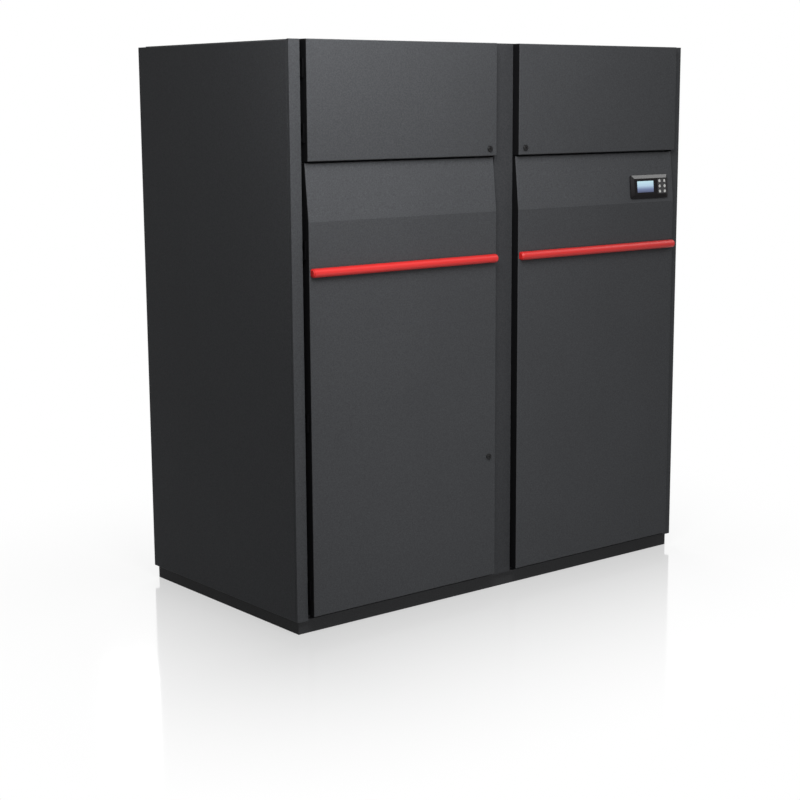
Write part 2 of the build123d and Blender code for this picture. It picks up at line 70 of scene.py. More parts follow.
# Studio lights: place, point aimed at, width and height, power in watts
LIGHTS = {
    "key": ((-1.05, -1.60, 2.62), (-0.12, -0.47, 1.70), (1.2, 1.2), 63.0),
    "fill": ((3.0, -1.4, 3.1), (0.75, -0.45, 1.40), (1.6, 1.6), 28.0),
    "low": ((-0.45, -2.30, 0.30), (-0.20, -0.46, 0.15), (2.4, 0.5), 17.0),
    "back": ((2.0, 3.6, 3.2), (0.0, 0.2, 1.0), (2.6, 2.6), 120.0),
}
WORLD_LIGHT = 0.265

# Floor: its own glow, its greys outside and inside the plinth and for bounced light, and how strong its
# shading and its mirror image are and how far they reach
STAGE_SIZE = 60.0
FLOOR_GLOW = 0.89
FLOOR_DIFFUSE = 0.17
FLOOR_COVERED = 0.55
FLOOR_BOUNCE = 0.25
FLOOR_FADE = 1.3
FLOOR_MIRROR = 0.37
FLOOR_MIRROR_FADE = 2.0
FLOOR_MIRROR_ROUGHNESS = 0.08
PLINTH_RAIL = 0.05

# Door seals: the outline is given in half widths and heights
SEAL_WIDTH = 0.012
SEAL_HEIGHT = 0.005
SEAL_EDGE = 0.008
SEAL_OUTLINE = ((-1.0, 0.0), (1.0, 0.0), (1.0, 0.4), (0.7, 0.85), (0.0, 1.0), (-0.7, 0.85), (-1.0, 0.4))

# Screws: the crown is a share of the radius, the shoulder and the socket's floor are shares of the height
SCREW_RADIUS = 0.0060
SCREW_HEIGHT = 0.0026
SCREW_CROWN = 0.72
SCREW_SHOULDER = 0.5
SCREW_SOCKET = 0.0030
SCREW_SOCKET_FLOOR = 0.4
SCREW_SOCKET_CENTRE = 0.0001
SCREW_SIDES = 14
REAR_SCREW_MARGIN = 0.018
REAR_SCREWS_DOWN = 9
REAR_SCREWS_ACROSS = 5
BOX_LID_LAP = 0.018
BOX_SCREW_MARGIN = 0.014
BOX_SCREWS = 5

# Coil: the bends' rows are shares of its depth
COIL_PLATE = 0.012
COIL_EDGE_BAND = 0.001
FIN_PITCH = 0.003
FIN_THICKNESS = 0.0004
FIN_EDGE = 0.0078
TUBE_PITCH = 0.025
BEND_TUBE = 0.0048
BEND_RADIUS = 0.0125
BEND_SPACING = 0.050
BEND_ROWS = (0.25, 0.5, 0.75)
BEND_STEPS = 8
BEND_SIDES = 10

# Cams behind the locks: the tip is a share of the width
CAM_HALF_WIDTH = 0.007
CAM_TIP = 0.8
CAM_LENGTH = 0.034
CAM_THICKNESS = 0.0025
CAM_GAP = 0.001
CAM_ROUND_STEPS = 8
SHAFT_RADIUS = 0.004
SHAFT_END = 0.004
SHAFT_SIDES = 12
NUT_RADIUS = 0.0075
NUT_HEIGHT = 0.004
NUT_SIDES = 6

# Filter straps
STRAP_BORDER = 0.018
STRAP_WIDTH = 0.016
STRAP_THICKNESS = 0.0012
STRAP_INSET = 0.004
STRAPS = 3

# Colours, linear
COAT_COLOUR = (0.0425, 0.0440, 0.0470)
# Painted shade: the middle post's coat is darker for the shade of its recess between the doors
POST_PAINTED_SHADE_COLOUR = (0.0340, 0.0350, 0.0375)
PLINTH_COLOUR = (0.0325, 0.0328, 0.0343)
# Painted shade: the doors' side edges are painted black for the shade in the gaps beside the doors
EDGE_PAINTED_SHADE = (0.0055, 0.0055, 0.0060)
RED_COLOUR = (0.47, 0.010, 0.009)
ZINC_COLOUR = (0.36, 0.37, 0.38)
COIL_COLOUR = (0.16, 0.165, 0.17)
FIN_COLOUR = (0.50, 0.52, 0.54)
COPPER_COLOUR = (0.62, 0.27, 0.15)
COPPER_FILM_COLOUR = (0.30, 0.13, 0.08)
FOAM_COLOUR = (0.030, 0.030, 0.031)
RUBBER_COLOUR = (0.012, 0.012, 0.012)
BLACK_ZINC_COLOUR = (0.010, 0.010, 0.011)
HINGE_COLOUR = (0.0022, 0.0022, 0.0025)
LOCK_COLOUR = (0.0045, 0.0045, 0.0050)
CONTROLLER_COLOUR = (0.0068, 0.0060, 0.0066)
PAD_COLOUR = (0.012, 0.012, 0.013)
KEY_COLOUR = (0.42, 0.42, 0.41)
FILTER_COLOUR = (0.66, 0.67, 0.65)
CARD_COLOUR = (0.52, 0.50, 0.44)
FAN_COLOUR = (0.090, 0.094, 0.102)
MOTOR_COLOUR = (0.020, 0.020, 0.022)

# Screen: colours from its bottom to its top, its glow, and its fine upright lines
SCREEN_STOPS = ((0.0, (0.030, 0.042, 0.105)), (0.30, (0.13, 0.18, 0.33)), (0.58, (0.40, 0.56, 0.70)),
                (1.0, (0.50, 0.73, 0.80)))
SCREEN_GLOW = 0.68
SCREEN_UNLIT = 0.35
SCREEN_LINE_SCALE = 330.0

# Where a finish changes: limits on a surface normal's part along an axis, and lengths
# Painted light: how much lighter the lower doors' lean is painted, where it tilts up towards the lamps
LEAN_PAINTED_LIGHT = 1.18
LEAN_NORMAL = (0.03, 0.09)
EDGE_NORMAL = (0.80, 0.95)
BEVEL_UP_NORMAL = (0.28, 0.45)
BEVEL_LEFT_NORMAL = (0.30, 0.42)
KEY_HEIGHT = 0.0016
MOTOR_RADIUS = 0.087
MOTOR_BLEND = 0.001

# Patterns: cells per metre, and the length of a wave of scale 1
SPANGLE_SCALE = 90.0
FOAM_CELL_SCALE = 380.0
WAVE_PERIOD = pi / 10

# Sockets of the mix node that belong to colours
MIX_FACTOR = 0
MIX_FIRST = 6
MIX_SECOND = 7
MIX_RESULT = 2

# Edges of smooth pieces that turn by more than this, in degrees, stay sharp
SHARP_ANGLE = 40


class NodeTree:
    """A node tree with helpers that add nodes and link them."""

    def __init__(self, owner):
        owner.use_nodes = True
        self.tree = owner.node_tree

    def put(self, socket, value):
        """Links a socket to another, or sets its value."""
        if isinstance(value, bpy.types.NodeSocket):
            self.tree.links.new(value, socket)
        else:
            socket.default_value = value

    def node(self, kind, inputs=None, **settings):
        """Adds a node, sets its options, and sets or links its inputs."""
        node = self.tree.nodes.new(kind)
        for key, value in settings.items():
            setattr(node, key, value)
        for key, value in (inputs or {}).items():
            self.put(node.inputs[key], value)
        return node

    def shader(self, kind, inputs):
        """Adds a shader node and gives its result."""
        return self.node(f"ShaderNode{kind}", inputs).outputs[0]

    def maths(self, operation, first, second=0.0, **settings):
        """One operation on one or two values."""
        return self.node("ShaderNodeMath", {0: first, 1: second}, operation=operation, **settings).outputs[0]

    def vectors(self, operation, first, second=(0, 0, 0)):
        """One operation on one or two vectors. A length or a dot product is a value."""
        outputs = self.node("ShaderNodeVectorMath", {0: first, 1: second}, operation=operation).outputs
        return outputs["Value" if operation in ("LENGTH", "DOT_PRODUCT") else "Vector"]

    def ranged(self, value, low, high, from_low=0.0, from_high=1.0):
        """A value moved from one range to another, kept within it."""
        inputs = {0: value, 1: from_low, 2: from_high, 3: low, 4: high}
        return self.node("ShaderNodeMapRange", inputs).outputs[0]


class Finish(NodeTree):
    """A material with one principled surface and helpers for patterns in the part's own coordinates."""

    def __init__(self, name, **surface):
        self.material = bpy.data.materials.new(name)
        super().__init__(self.material)
        self.surface = self.tree.nodes["Principled BSDF"]
        coordinates = self.node("ShaderNodeTexCoord").outputs
        self.place = coordinates["Object"]
        self.normal = coordinates["Normal"]
        self.set(**surface)

    def set(self, **inputs):
        """Sets or links inputs of the principled surface."""
        for key, value in inputs.items():
            self.put(self.surface.inputs[key.replace("_", " ")], value)

    def noise(self, size, detail=2.0, stretch=None):
        """Noise from 0 to 1 with features of about a given size, on coordinates scaled along each axis."""
        place = self.vectors("MULTIPLY", self.place, stretch) if stretch else self.place
        inputs = {"Vector": place, "Scale": 1 / size, "Detail": detail}
        return self.node("ShaderNodeTexNoise", inputs).outputs[0]

    def cells(self, scale):
        """The outputs of a pattern of random cells."""
        return self.node("ShaderNodeTexVoronoi", {"Vector": self.place, "Scale": scale}).outputs

    def bands(self, scale, axis):
        """Waves from 0 to 1 along an axis."""
        inputs = {"Vector": self.place, "Scale": scale}
        return self.node("ShaderNodeTexWave", inputs, bands_direction=axis).outputs[1]

    def along(self, direction, vector=None):
        """How far a point, or another vector, lies along a direction."""
        return self.vectors("DOT_PRODUCT", vector or self.place, direction)

    def scaled(self, colour, value):
        """A colour made lighter or darker by a value."""
        return self.node("ShaderNodeVectorMath", {0: colour, "Scale": value}, operation="SCALE").outputs[0]

    def mixed(self, value, first, second):
        """Two colours mixed by a value."""
        first, second = (item if isinstance(item, bpy.types.NodeSocket) else (*item, 1.0)
                         for item in (first, second))
        inputs = {MIX_FACTOR: value, MIX_FIRST: first, MIX_SECOND: second}
        return self.node("ShaderNodeMix", inputs, data_type="RGBA").outputs[MIX_RESULT]

    def bump(self, height, distance, strength):
        """Links a bump of a given depth to the surface."""
        inputs = {"Height": height, "Distance": distance, "Strength": strength}
        self.set(Normal=self.node("ShaderNodeBump", inputs).outputs[0])


def coat_finish(name, colour, on_door=False):
    """Textured powder coat: fine grain and faint clouds. On a door the side edges are painted black, painted
    shade of the gaps beside the doors, and the lower doors' lean is painted lighter, painted light where it
    tilts up."""
    finish = Finish(name, Specular_IOR_Level=0.04)
    speckle = finish.noise(size=0.0045, detail=3.0)
    cloud = finish.noise(size=0.35, detail=3.0)
    grain = finish.noise(size=0.0016)
    shade = finish.maths("MULTIPLY", finish.ranged(speckle, 0.78, 1.22, from_low=0.25, from_high=0.75),
                         finish.ranged(cloud, 0.93, 1.07))
    paint = finish.scaled(colour, shade)
    if on_door:
        # Painted light: the lean of a lower door, which tilts up, gets a lighter colour
        painted_lean_light = finish.ranged(finish.along(UP, finish.normal), 1.0, LEAN_PAINTED_LIGHT, *LEAN_NORMAL)
        sideways = finish.maths("ABSOLUTE", finish.along(RIGHT, finish.normal))
        # Painted shade: faces that look sideways, the doors' side edges, are painted black
        edge = finish.ranged(sideways, 0.0, 1.0, *EDGE_NORMAL)
        paint = finish.mixed(edge, finish.scaled(paint, painted_lean_light), EDGE_PAINTED_SHADE)
    finish.set(Base_Color=paint, Roughness=finish.ranged(speckle, 0.43, 0.59))
    finish.bump(finish.maths("ADD", grain, speckle), distance=0.00025, strength=0.40)
    return finish.material


def galvanised_finish():
    """Zinc-coated sheet with soft spangle."""
    finish = Finish("galvanised", Metallic=0.85)
    spangle = finish.along((0.4, 0.3, 0.3), finish.cells(SPANGLE_SCALE)["Color"])
    streak = finish.noise(size=0.02, detail=4.0, stretch=(1.0, 1.0, 0.12))
    finish.set(Base_Color=finish.scaled(ZINC_COLOUR, finish.ranged(spangle, 0.78, 1.14)),
               Roughness=finish.ranged(streak, 0.38, 0.56))
    finish.bump(streak, distance=0.0001, strength=0.3)
    return finish.material


def coil_finish():
    """The coil's block and end plates: aluminium, slightly uneven in tone from fin to fin."""
    finish = Finish("coil_block", Metallic=0.9)
    tone = finish.noise(size=0.012, detail=3.0, stretch=(6.0, 1.0, 0.15))
    finish.set(Base_Color=finish.scaled(COIL_COLOUR, finish.ranged(tone, 0.8, 1.1)),
               Roughness=finish.ranged(tone, 0.32, 0.46))
    return finish.material


def fins_finish():
    """Packed aluminium fins: streaks of bent fins, darker rows of tube collars and painted shade of tubes
    behind.
    """
    finish = Finish("fins", Metallic=0.6)
    streaks = finish.noise(size=0.03, detail=4.0, stretch=(4.0, 1.0, 0.06))
    # Darker rows at the tube pitch: the tubes' collars, with painted shade of the tubes behind the fins
    rows = finish.ranged(finish.bands(WAVE_PERIOD / TUBE_PITCH, "Z"), 0.80, 1.0, from_high=0.45)
    bent = finish.ranged(streaks, 0.62, 1.18, from_low=0.25, from_high=0.75)
    finish.set(Base_Color=finish.scaled(FIN_COLOUR, finish.maths("MULTIPLY", bent, rows)),
               Roughness=finish.ranged(streaks, 0.38, 0.55))
    return finish.material


def copper_finish():
    """Drawn copper tube with a dull film in places."""
    finish = Finish("copper", Metallic=1.0)
    film = finish.noise(size=0.03, detail=4.0)
    finish.set(Base_Color=finish.mixed(film, COPPER_COLOUR, COPPER_FILM_COLOUR),
               Roughness=finish.ranged(film, 0.26, 0.50))
    return finish.material


def foam_finish():
    """Open-cell acoustic foam with a dark facing."""
    finish = Finish("foam", Specular_IOR_Level=0.15)
    cells = finish.cells(FOAM_CELL_SCALE)["Distance"]
    patches = finish.noise(size=0.06, detail=3.0)
    shade = finish.maths("MULTIPLY", finish.ranged(cells, 0.6, 1.15), finish.ranged(patches, 0.85, 1.15))
    finish.set(Base_Color=finish.scaled(FOAM_COLOUR, shade), Roughness=finish.ranged(patches, 0.86, 0.97))
    finish.bump(cells, distance=0.0012, strength=0.7)
    return finish.material


def rubber_finish():
    """Black sponge rubber of the door seals."""
    finish = Finish("seal_rubber", Specular_IOR_Level=0.25)
    pores = finish.noise(size=0.0012)
    finish.set(Base_Color=finish.scaled(RUBBER_COLOUR, finish.ranged(pores, 0.7, 1.3)),
               Roughness=finish.ranged(pores, 0.62, 0.80))
    finish.bump(pores, distance=0.0003, strength=0.5)
    return finish.material


def red_finish():
    """Glossy red extrusion with very fine drawing lines along its length."""
    finish = Finish("trim_red", Specular_IOR_Level=0.42)
    lines = finish.noise(size=0.0012, stretch=(0.02, 1.0, 1.0))
    tone = finish.noise(size=0.08)
    finish.set(Base_Color=finish.scaled(RED_COLOUR, finish.ranged(tone, 0.94, 1.06)),
               Roughness=finish.ranged(lines, 0.42, 0.52))
    finish.bump(lines, distance=0.00005, strength=0.3)
    return finish.material


def grained_finish(name, colour, roughness, grain, shine=0.45):
    """A smooth moulded or coated surface with a fine grain."""
    finish = Finish(name, Specular_IOR_Level=shine)
    texture = finish.noise(size=grain)
    tone = finish.noise(size=0.02)
    finish.set(Base_Color=finish.scaled(colour, finish.ranged(tone, 0.88, 1.12)),
               Roughness=finish.ranged(texture, roughness - 0.05, roughness + 0.08))
    finish.bump(texture, distance=0.00008, strength=0.5)
    return finish.material


def controller_finish():
    """Matt black film on the front, polished bevels that face up or, near the top, to the left."""
    low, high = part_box("controller_housing")
    finish = Finish("controller_black")
    upward = finish.ranged(finish.along(UP, finish.normal), 0.0, 1.0, *BEVEL_UP_NORMAL)
    leftward = finish.ranged(finish.along(LEFT, finish.normal), 0.0, 1.0, *BEVEL_LEFT_NORMAL)
    rise = finish.ranged(finish.along(UP), 0.0, 1.0, low.z, high.z)
    polish = finish.maths("MAXIMUM", upward, finish.maths("MULTIPLY", leftward, rise))
    texture = finish.noise(size=0.0009)
    tone = finish.noise(size=0.02)
    finish.set(Base_Color=finish.scaled(CONTROLLER_COLOUR, finish.ranged(tone, 0.85, 1.15)),
               Specular_IOR_Level=finish.ranged(polish, 0.05, 0.34),
               Roughness=finish.ranged(polish, 0.5, 0.24))
    finish.bump(texture, distance=0.00006, strength=0.4)
    return finish.material


def screen_finish():
    """A backlit display that fades from pale at the top to dark blue at the bottom."""
    low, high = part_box("controller_screen")
    finish = Finish("screen", Specular_IOR_Level=0.6, Roughness=0.12, Emission_Strength=SCREEN_GLOW)
    ramp = finish.node("ShaderNodeValToRGB", {0: finish.ranged(finish.along(UP), 0.0, 1.0, low.z, high.z)})
    for position, _ in SCREEN_STOPS[1:-1]:
        ramp.color_ramp.elements.new(position)
    for element, (position, colour) in zip(ramp.color_ramp.elements, SCREEN_STOPS):
        element.position = position
        element.color = (*colour, 1.0)
    lines = finish.ranged(finish.bands(SCREEN_LINE_SCALE, "X"), 0.94, 1.03)
    glow = finish.scaled(ramp.outputs[0], lines)
    finish.set(Base_Color=finish.scaled(glow, SCREEN_UNLIT), Emission_Color=glow)
    return finish.material


def keypad_finish():
    """Pale raised keys on a black pad: a point counts as a key where it stands above the pad."""
    mesh = nodes["controller_keypad"].data
    outward = max(mesh.polygons, key=lambda face: face.area if face.normal.y < 0 else 0.0).normal
    top = max(vertex.co.dot(outward) for vertex in mesh.vertices)
    finish = Finish("keys", Specular_IOR_Level=0.4)
    raised = finish.ranged(finish.along(tuple(outward)), 0.0, 1.0,
                           from_low=top - 0.6 * KEY_HEIGHT, from_high=top - 0.4 * KEY_HEIGHT)
    grain = finish.noise(size=0.001)
    pad = finish.scaled(PAD_COLOUR, finish.ranged(grain, 0.8, 1.2))
    key = finish.scaled(KEY_COLOUR, finish.ranged(grain, 0.92, 1.06))
    finish.set(Base_Color=finish.mixed(raised, pad, key), Roughness=finish.ranged(grain, 0.34, 0.48))
    finish.bump(grain, distance=0.00006, strength=0.4)
    return finish.material


def filter_finish():
    """White pleated filter media with soft fibres, painted darker lower down: painted shade in the folds."""
    low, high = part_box("filter_left")
    finish = Finish("filter_media", Specular_IOR_Level=0.2, Roughness=0.9)
    fibres = finish.noise(size=0.0015, detail=4.0)
    # Painted shade: the colour darkens down into the folds of the pleats
    depth = finish.ranged(finish.along(UP), 0.66, 1.0, low.z, high.z)
    shade = finish.maths("MULTIPLY", depth, finish.ranged(fibres, 0.85, 1.1))
    finish.set(Base_Color=finish.scaled(FILTER_COLOUR, shade))
    finish.bump(fibres, distance=0.0006, strength=0.6)
    return finish.material


def motor_finish(bay):
    """Black motor casing in the middle, zinc-coated bracket around it."""
    low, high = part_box(f"fan_motor_{bay}")
    centre = (low + high) / 2
    finish = Finish(f"motor_{bay}", Specular_IOR_Level=0.4)
    offset = finish.vectors("SUBTRACT", finish.place, (centre.x, centre.y, 0))
    reach = finish.vectors("LENGTH", finish.vectors("MULTIPLY", offset, (1, 1, 0)))
    bracket = finish.ranged(reach, 0.0, 1.0, MOTOR_RADIUS, MOTOR_RADIUS + MOTOR_BLEND)
    colour = finish.mixed(bracket, MOTOR_COLOUR, ZINC_COLOUR)
    tone = finish.noise(size=0.02, detail=3.0)
    finish.set(Base_Color=finish.scaled(colour, finish.ranged(tone, 0.85, 1.12)),
               Metallic=finish.ranged(bracket, 0.0, 0.85), Roughness=finish.ranged(tone, 0.36, 0.54))
    return finish.material


def dress(material, *names):
    """Gives CAD nodes a finish."""
    for name in names:
        nodes[name].data.materials.clear()
        nodes[name].data.materials.append(material)


def both(*names):
    """The names of the left and right pieces of each kind."""
    return [f"{name}_{bay}" for name in names for bay in BAYS]


# Finishes that pieces of this script share
GALVANISED = galvanised_finish()
FINS = fins_finish()
COPPER = copper_finish()
RUBBER = rubber_finish()
BLACK_ZINC = grained_finish("black_zinc", BLACK_ZINC_COLOUR, roughness=0.38, grain=0.0006)
CARD = grained_finish("filter_card", CARD_COLOUR, roughness=0.85, grain=0.002)

dress(coat_finish("powder_coat", COAT_COLOUR),
      *both("post_front", "side_panel", "rear_panel", "transom"), "top_frame")
# Painted shade: the middle post's coat is darker for the shade of its recess between the doors
dress(coat_finish("post_painted_shade", POST_PAINTED_SHADE_COLOUR), "post_front_middle")
dress(coat_finish("door_coat", COAT_COLOUR, on_door=True), *both("door_upper", "door_lower"))
dress(coat_finish("plinth_paint", PLINTH_COLOUR), "plinth", "base_rails", "base_cross_rails", "door_sill")
dress(GALVANISED, *both("post_rear"), "post_rear_middle", "fan_deck", "drain_tray", "electrical_box")
dress(coil_finish(), "cooling_coil")
dress(foam_finish(), *both("liner_upper", "liner_lower"))
dress(red_finish(), *both("trim_bar"))
dress(grained_finish("lock_black", LOCK_COLOUR, roughness=0.36, grain=0.0006, shine=0.16),
      *both("lock_upper"), "lock_lower_left")
dress(grained_finish("hinge_black", HINGE_COLOUR, roughness=0.60, grain=0.0006, shine=0.02),
      *both("hinge_posts", "hinge_upper", "hinge_lower"))
dress(controller_finish(), "controller_housing")
dress(screen_finish(), "controller_screen")
dress(keypad_finish(), "controller_keypad")
dress(filter_finish(), *both("filter"))
dress(grained_finish("fan_coat", FAN_COLOUR, roughness=0.36, grain=0.002, shine=0.5), *both("fan_impeller"))
for bay in BAYS:
    dress(motor_finish(bay), f"fan_motor_{bay}")


class Shape:
    """Points and faces of a piece that is put together from many like parts."""

    def __init__(self):
        self.points = []
        self.faces = []

    def loops(self, rings, closed_path=False):
        """Adds faces between rings of equal count, joined end to end or capped."""
        start = len(self.points)
        count = len(rings[0])
        steps = len(rings) if closed_path else len(rings) - 1
        faces = []
        for step in range(steps):
            here = step * count
            there = (step + 1) % len(rings) * count
            faces += [(here + n, here + (n + 1) % count, there + (n + 1) % count, there + n)
                      for n in range(count)]
        if not closed_path:
            faces.append(tuple(reversed(range(count))))
            faces.append(tuple(range(steps * count, steps * count + count)))
        self.points.extend(tuple(point) for ring in rings for point in ring)
        self.faces.extend(tuple(start + index for index in face) for face in faces)

    def prism(self, outline, sweep):
        """Adds a closed outline of points moved along a vector, with both ends closed."""
        ring = [Vector(point) for point in outline]
        self.loops([ring, [point + Vector(sweep) for point in ring]])

    def piece(self, name, material, body, slot, smooth=False):
        """Makes the object, which rides on a body and takes the given finish. The slot is not used."""
        mesh = bpy.data.meshes.new(name)
        mesh.from_pydata(self.points, [], self.faces)
        mesh.validate()
        mesh.materials.append(material)
        face_outward(mesh)
        if smooth:
            mesh.shade_smooth()
            mesh.set_sharp_from_angle(angle=radians(SHARP_ANGLE))
        piece = bpy.data.objects.new(name, mesh)
        bpy.context.scene.collection.objects.link(piece)
        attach(piece, body)


def face_outward(mesh):
    """Turns all faces outward."""
    work = bmesh.new()
    work.from_mesh(mesh)
    bmesh.ops.recalc_face_normals(work, faces=work.faces)
    work.to_mesh(mesh)
    work.free()


def evenly(low, high, count):
    """Values from low to high at even steps."""
    return [low + (high - low) * n / (count - 1) for n in range(count)]


def between(low, high, count):
    """Values at even steps that leave out low and high themselves."""
    return evenly(low, high, count + 2)[1:-1]


def round_angles(sides):
    """The angles of a circle's corners."""
    return [2 * pi * n / sides for n in range(sides)]


def turned(place, across, up, profile, sides):
    """Rings of a shape turned about the line across x up: profile points are (radius, height)."""
    across, up = Vector(across), Vector(up)
    axis = across.cross(up)
    spokes = [across * cos(angle) + up * sin(angle) for angle in round_angles(sides)]
    return [[Vector(place) + axis * height + spoke * radius for spoke in spokes]
            for radius, height in profile]


def screw(shape, place, across, up):
    """A round screw head with a socket, standing on a face that looks along across x up."""
    floor_height = SCREW_SOCKET_FLOOR * SCREW_HEIGHT
    profile = [(SCREW_RADIUS, 0.0), (SCREW_RADIUS, SCREW_SHOULDER * SCREW_HEIGHT),
               (SCREW_CROWN * SCREW_RADIUS, SCREW_HEIGHT), (SCREW_SOCKET, SCREW_HEIGHT),
               (SCREW_SOCKET, floor_height), (SCREW_SOCKET_CENTRE, floor_height)]
    shape.loops(turned(place, across, up, profile, SCREW_SIDES))


def door_seal(level, bay):
    """A sponge seal on the frame round one doorway, just clear of the closed door's rim."""
    low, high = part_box(f"door_{level}_{bay}")
    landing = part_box("base_rails")[0].y
    section = [(SEAL_EDGE + across * SEAL_WIDTH / 2, landing - rise * SEAL_HEIGHT)
               for across, rise in SEAL_OUTLINE]
    corners = [(low.x, low.z, 1, 1), (high.x, low.z, -1, 1), (high.x, high.z, -1, -1), (low.x, high.z, 1, -1)]
    rings = [[(x + inward_x * inset, y, z + inward_z * inset) for inset, y in section]
             for x, z, inward_x, inward_z in corners]
    shape = Shape()
    shape.loops(rings, closed_path=True)
    shape.piece(f"door_seal_{level}_{bay}", RUBBER, "cabinet", "foam", smooth=True)


def filter_straps(bay):
    """Card straps that hold the pleats of a filter apart."""
    low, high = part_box(f"filter_{bay}")
    x = low.x + STRAP_BORDER
    z = high.z - STRAP_INSET
    shape = Shape()
    for middle in between(low.y, high.y, STRAPS):
        y = middle - STRAP_WIDTH / 2
        outline = [(x, y, z), (x, y + STRAP_WIDTH, z),
                   (x, y + STRAP_WIDTH, z + STRAP_THICKNESS), (x, y, z + STRAP_THICKNESS)]
        shape.prism(outline, (high.x - low.x - 2 * STRAP_BORDER, 0, 0))
    shape.piece(f"filter_straps_{bay}", CARD, "cabinet", "filter_media")


def rear_screws():
    """Screw heads round the edge of each rear panel."""
    shape = Shape()
    for bay in BAYS:
        low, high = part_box(f"rear_panel_{bay}")
        heights = evenly(low.z + REAR_SCREW_MARGIN, high.z - REAR_SCREW_MARGIN, REAR_SCREWS_DOWN)
        widths = evenly(low.x + REAR_SCREW_MARGIN, high.x - REAR_SCREW_MARGIN, REAR_SCREWS_ACROSS)
        places = {(x, z) for x in (widths[0], widths[-1]) for z in heights}
        places |= {(x, z) for x in widths for z in (heights[0], heights[-1])}
        for x, z in sorted(places):
            screw(shape, (x, high.y, z), UP, RIGHT)
    shape.piece("rear_screws", GALVANISED, "cabinet", "galvanised", smooth=True)


def box_screws():
    """Screw heads along the lid of the electrical box."""
    low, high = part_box("electrical_box")
    inset = BOX_LID_LAP + BOX_SCREW_MARGIN
    shape = Shape()
    for x in evenly(low.x + inset, high.x - inset, BOX_SCREWS):
        for z in (low.z + BOX_SCREW_MARGIN, high.z - BOX_SCREW_MARGIN):
            screw(shape, (x, low.y, z), RIGHT, UP)
    shape.piece("box_screws", BLACK_ZINC, "cabinet", "galvanised", smooth=True)


def coil_lines():
    """The coil's front edge at its foot and its top, then its back edge at both, as (y, z)."""
    low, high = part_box("cooling_coil")
    points = [vertex.co for vertex in nodes["cooling_coil"].data.vertices]
    top_front = min(point.y for point in points if point.z > high.z - COIL_EDGE_BAND)
    foot_back = max(point.y for point in points if point.z < low.z + COIL_EDGE_BAND)
    return (low.y, low.z), (top_front, high.z), (foot_back, low.z), (high.y, high.z)


def coil_fins():
    """Thin fins along the coil, which stand out from the block between its end plates."""
    front_foot, front_top, back_foot, back_top = coil_lines()
    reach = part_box("cooling_coil")[1].x - COIL_PLATE - FIN_PITCH
    count = floor(2 * reach / FIN_PITCH)
    shape = Shape()
    for middle in evenly(-reach, reach, count + 1):
        x = middle - FIN_THICKNESS / 2
        for foot, top, depth in ((front_foot, front_top, FIN_EDGE), (back_foot, back_top, -FIN_EDGE)):
            outline = [(x, foot[0], foot[1]), (x, foot[0] + depth, foot[1]),
                       (x, top[0] + depth, top[1]), (x, top[0], top[1])]
            shape.prism(outline, (FIN_THICKNESS, 0, 0))
    shape.piece("coil_fins", FINS, "cabinet", "coil_fins")


def return_bend(shape, centre, along, outward):
    """Half a ring of tube that stands out from an end plate."""
    across = along.cross(outward)
    rings = []
    for step in range(BEND_STEPS + 1):
        turn = pi * step / BEND_STEPS
        spoke = along * cos(turn) + outward * sin(turn)
        rings.append([centre + spoke * (BEND_RADIUS + BEND_TUBE * cos(angle))
                      + across * BEND_TUBE * sin(angle) for angle in round_angles(BEND_SIDES)])
    shape.loops(rings)


def coil_bends():
    """Copper return bends in three rows on the outside of both end plates."""
    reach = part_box("cooling_coil")[1].x
    front_foot, front_top, back_foot, _ = coil_lines()
    foot = Vector((0, *front_foot))
    lean = Vector((0, *front_top)) - foot
    depth = back_foot[0] - front_foot[0]
    count = floor(lean.length / BEND_SPACING) - 1
    shape = Shape()
    for side in (-1, 1):
        for row in BEND_ROWS:
            for share in between(0.0, 1.0, count):
                centre = foot + lean * share + Vector((side * reach, row * depth, 0))
                return_bend(shape, centre, lean.normalized(), Vector((side, 0, 0)))
    shape.piece("coil_bends", COPPER, "cabinet", "coil_fins", smooth=True)


def lock_cam(name, body):
    """The tongue inside a door: nut, shaft and cam, turned upright as when the lock is open."""
    low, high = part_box(name)
    centre = (low + high) / 2
    door_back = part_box("door_upper_left")[1].y
    start = (centre.x, high.y, centre.z)
    shaft = door_back - high.y + SHAFT_END
    shape = Shape()
    shape.loops(turned(start, UP, RIGHT, [(SHAFT_RADIUS, 0.0), (SHAFT_RADIUS, shaft)], SHAFT_SIDES))
    shape.loops(turned(start, UP, RIGHT, [(NUT_RADIUS, 0.0), (NUT_RADIUS, NUT_HEIGHT)], NUT_SIDES))
    outline = [(CAM_HALF_WIDTH * cos(angle), CAM_HALF_WIDTH * sin(angle))
               for angle in evenly(pi, 2 * pi, CAM_ROUND_STEPS + 1)]
    outline += [(CAM_TIP * CAM_HALF_WIDTH, CAM_LENGTH), (-CAM_TIP * CAM_HALF_WIDTH, CAM_LENGTH)]
    shape.prism([(centre.x + x, door_back + CAM_GAP, centre.z + z) for x, z in outline],
                (0, CAM_THICKNESS, 0))
    shape.piece(f"cam_{name}", GALVANISED, body, "lock_black")


for level in LEVELS:
    for bay in BAYS:
        door_seal(level, bay)
for bay in BAYS:
    filter_straps(bay)
rear_screws()
box_screws()
coil_fins()
coil_bends()
lock_cam("lock_upper_left", "upper_left_door")
lock_cam("lock_upper_right", "upper_right_door")
lock_cam("lock_lower_left", "lower_left_door")


def shows_white(tree):
    """A value of 1 for rays that show the white surround: from the camera, reflections and glass."""
    path = tree.node("ShaderNodeLightPath").outputs
    shown = tree.maths("ADD", path["Is Camera Ray"], path["Is Glossy Ray"])
    return tree.maths("ADD", shown, path["Is Transmission Ray"], use_clamp=True)


